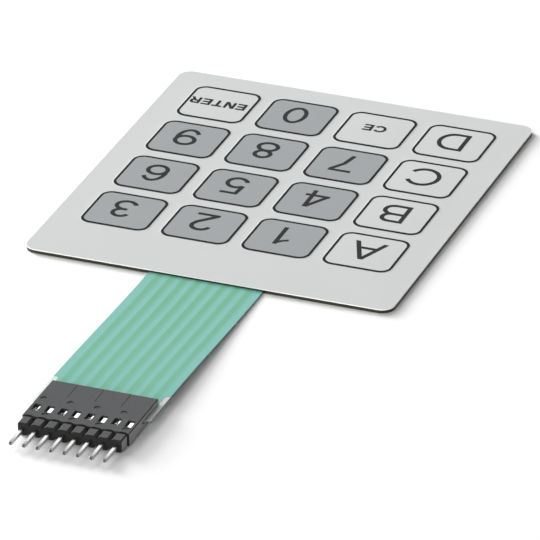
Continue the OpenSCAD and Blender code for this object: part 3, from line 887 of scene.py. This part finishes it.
def pin_shape():
    """One pin about its own axis, as sections along Y joined by quads and closed by end faces."""
    stations = [(pin_low.y, PIN_TIP), (pin_low.y + PIN_TAPER, pin_width),
                (pin_high.y - PIN_TAPER, pin_width), (pin_high.y, PIN_TIP)]
    cut = 1 - PIN_CORNER
    section = [(1, cut), (cut, 1), (-cut, 1), (-1, cut), (-1, -cut), (-cut, -1), (cut, -1), (1, -cut)]
    corners = [(u * w / 2, y, v * w / 2) for y, w in stations for u, v in section]
    size = len(section)
    faces = [[k * size + i, (k + 1) * size + i, (k + 1) * size + (i + 1) % size, k * size + (i + 1) % size]
             for k in range(len(stations) - 1) for i in range(size)]
    faces += [list(range(size)), [len(corners) - 1 - i for i in range(size)]]
    mesh = bpy.data.meshes.new("pin_stamp")
    mesh.from_pydata(corners, [], faces)
    return place_piece("pin_stamp", mesh)


# The pins' tin is painted greyer than the contacts', as painted shade
pins = stamp("header_pins", pin_shape(), [(TAIL_MIDDLE + lane, 0, pin_z) for lane in lanes], tin_wire_painted_shade)
# The pins' end faces get the bronze, darkened as painted shade
dress(pins, [tin_wire_painted_shade, bronze_end_painted_shade], lambda face: abs(face.normal.y) > END_ON)
hand_in(pins, "pin_metal", *[f"header_pin_{i + 1}" for i in range(CONDUCTORS)])

# %% [markdown]
# ## Layers that keep their frame shape
# The flat layers and the contacts already have their true shape in the frame. They could be built again
# as sheets, but most show no more than an edge, so they only get their finish. The lower film is clear,
# but its cut edges are painted with the dark film's finish, as painted shade that joins the dark line round
# the plate.

# %% Finish the remaining nodes
FINISHES = {
    "overlay_adhesive": dark_adhesive,
    "upper_circuit_film": smoky_film,
    "contact_spacer": dark_adhesive,
    "rear_adhesive": dark_adhesive,
    # The liner's grey is deepened as painted shade
    "release_liner": liner_paper_painted_shade,
    "row_conductors": silver_ink,
    "column_conductors": silver_ink,
    "row_tail_conductors": silver_ink,
    "transfer_joints": silver_ink,
    **{f"crimp_contact_{i + 1}": tin_plate for i in range(CONDUCTORS)},
}
for node, finish in FINISHES.items():
    dress(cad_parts[node], [finish])
# The clear film's cut edges are painted dark, as painted shade
dress(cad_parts["lower_circuit_film"], [clear_film, smoky_film], upright)
print("finished in place:", len(FINISHES) + 1, "nodes")

# %% [markdown]
# ## Camera
# The photograph was taken from far away with a long lens, from the tail's side and a little to the
# keypad's left. A camera could be aimed by a constraint, but plain numbers are easier to compare with the
# photograph. So it is placed by the point it aims at, two angles, a distance and a slight roll.

# %% Place the camera
AIM = Vector((-9.94, 32.64, 0.9)) * MM
AZIMUTH, ELEVATION, ROLL = 201.229, 27.461, -0.32
DISTANCE = 1240.3 * MM
LENS = 451.4
SENSOR = 36
NEAR, FAR = 0.01, 20


def direction(azimuth, elevation):
    """The way to a place at these angles in degrees, with azimuth 0 toward -Y."""
    a, e = math.radians(azimuth), math.radians(elevation)
    return Vector((math.sin(a) * math.cos(e), -math.cos(a) * math.cos(e), math.sin(e)))


back = direction(AZIMUTH, ELEVATION)
turn = (-back).to_track_quat("-Z", "Y").to_matrix().to_4x4() @ Matrix.Rotation(math.radians(ROLL), 4, "Z")
camera = bpy.data.objects.new("camera", bpy.data.cameras.new("camera"))
camera.data.lens = LENS
camera.data.sensor_width = SENSOR
camera.data.clip_start, camera.data.clip_end = NEAR, FAR
camera.matrix_world = Matrix.Translation(AIM + back * DISTANCE) @ turn
bpy.context.scene.collection.objects.link(camera)
bpy.context.scene.camera = camera
print("camera at", [round(c, 3) for c in camera.location])

# %% [markdown]
# ## Floor and light
# The keypad lies on a white sheet under large soft lights. A bright sky alone could light it, but then
# nothing would have a clear shadow. So a low light from the keypad's right throws the soft shadows, with
# a higher one beside it. A low fill from the tail's side shows the near edges, a weak panel from the far
# side gives the metal its gloss, and a room that is brighter near the horizon does the rest.

# %% Floor
FLOOR_HALF = 3.0
FLOOR_DROP = -0.02 * MM
# Plain white without a sheen
white_paper = grained("white paper sweep", "#f7f7f7", "#f5f5f5", 60, 2, 0.0, (0.8, 0.9))
floor_mesh = bpy.data.meshes.new("floor")
floor_signs = ((-1, -1), (1, -1), (1, 1), (-1, 1))
floor_corners = [(x * FLOOR_HALF, y * FLOOR_HALF, FLOOR_DROP) for x, y in floor_signs]
floor_mesh.from_pydata(floor_corners, [], [(0, 1, 2, 3)])
floor_mesh.materials.append(white_paper)
floor = bpy.data.objects.new("floor", floor_mesh)
bpy.context.scene.collection.objects.link(floor)
print("floor:", 2 * FLOOR_HALF, "m wide")

# %% Lights
LAMP_DISTANCE = 3.0


def softbox(name, azimuth, elevation, size, power):
    """A square area light that looks at the keypad from a direction in degrees."""
    toward = direction(azimuth, elevation)
    lamp = bpy.data.objects.new(name, bpy.data.lights.new(name, "AREA"))
    lamp.data.size = size
    lamp.data.energy = power
    facing = toward.to_track_quat("Z", "Y").to_matrix().to_4x4()
    lamp.matrix_world = Matrix.Translation(AIM + toward * LAMP_DISTANCE) @ facing
    bpy.context.scene.collection.objects.link(lamp)
    print("light:", name, power, "W")


softbox("low side", 66, 15, 1.2, 140)
softbox("high side", 75, 40, 1.6, 45)
softbox("front fill", 172, 20, 1.6, 55)
softbox("back panel", 21, 28, 1.6, 15)

# %% Sky
BAND, ABOVE = 0.5, 0.08
BAND_TOP = (0.45, 0.65)
sky = bpy.data.worlds.new("pale room")
sky.use_nodes = True
tree = sky.node_tree
ways = add(tree, "ShaderNodeTexCoord").outputs["Generated"]
height = add(tree, "ShaderNodeSeparateXYZ", {0: ways}).outputs["Z"]
fall = {"Value": height, "From Min": BAND_TOP[0], "From Max": BAND_TOP[1], "To Min": BAND, "To Max": ABOVE}
glow = add(tree, "ShaderNodeMapRange", fall)
background = tree.nodes["Background"]
background.inputs["Color"].default_value = linear("#ffffff")
tree.links.new(glow.outputs[0], background.inputs["Strength"])
bpy.context.scene.world = sky
bpy.context.scene.view_settings.view_transform = "Standard"
print("sky:", BAND, "near the horizon,", ABOVE, "above")
